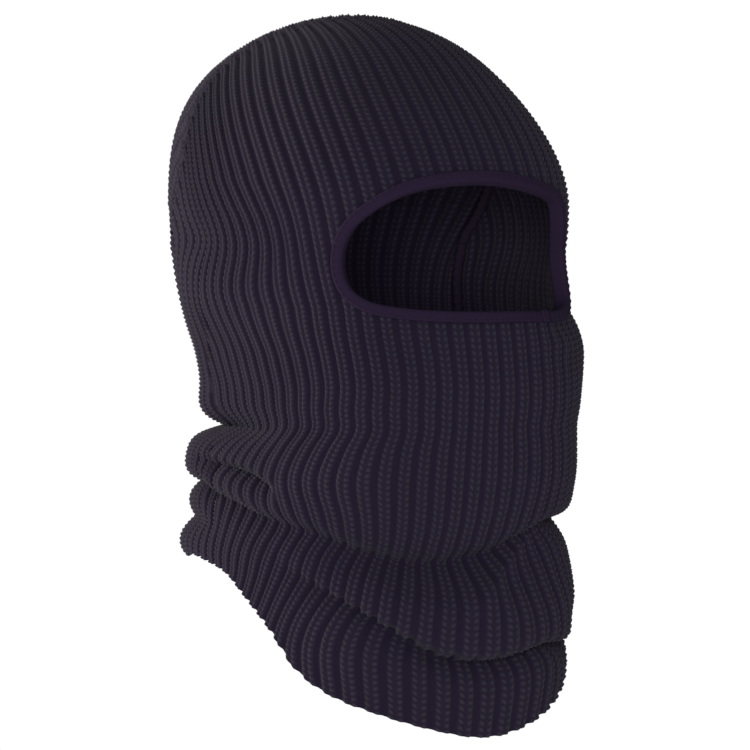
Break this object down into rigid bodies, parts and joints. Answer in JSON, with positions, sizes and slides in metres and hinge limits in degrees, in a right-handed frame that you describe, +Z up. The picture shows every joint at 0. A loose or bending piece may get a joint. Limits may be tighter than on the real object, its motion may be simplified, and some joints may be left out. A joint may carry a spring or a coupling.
{
  "type": "balaclava",
  "caption": "One-hole rib-knit ski mask in its worn shape: closed crown, bound eye opening, bunched neck and a long front hem.",
  "frame": {"origin": "centre of the head the mask is worn on: mid-width and mid-length, level with the tops of the ears", "axes": "+Z up through the crown, -Y is where the face looks, -X is the wearer's right"},
  "size_m": [0.1608, 0.21, 0.3004],
  "materials": {
    "knit": "chunky rib knit in near-black navy acrylic yarn, soft and matt with a little sheen",
    "binding": "smooth folded knit band, near-black navy, matt",
    "thread": "twisted polyester thread matched to the yarn",
    "label": "blank woven satin ribbon, off-white"
  },
  "bodies": {
    "root": {"front_panel": "knit", "back_panel": "knit", "eye_binding": "binding", "binding_stitching": "thread", "binding_join": "thread", "crown_seam": "thread", "right_side_seam": "thread", "left_side_seam": "thread", "care_label": "label"}
  },
  "joints": []
}
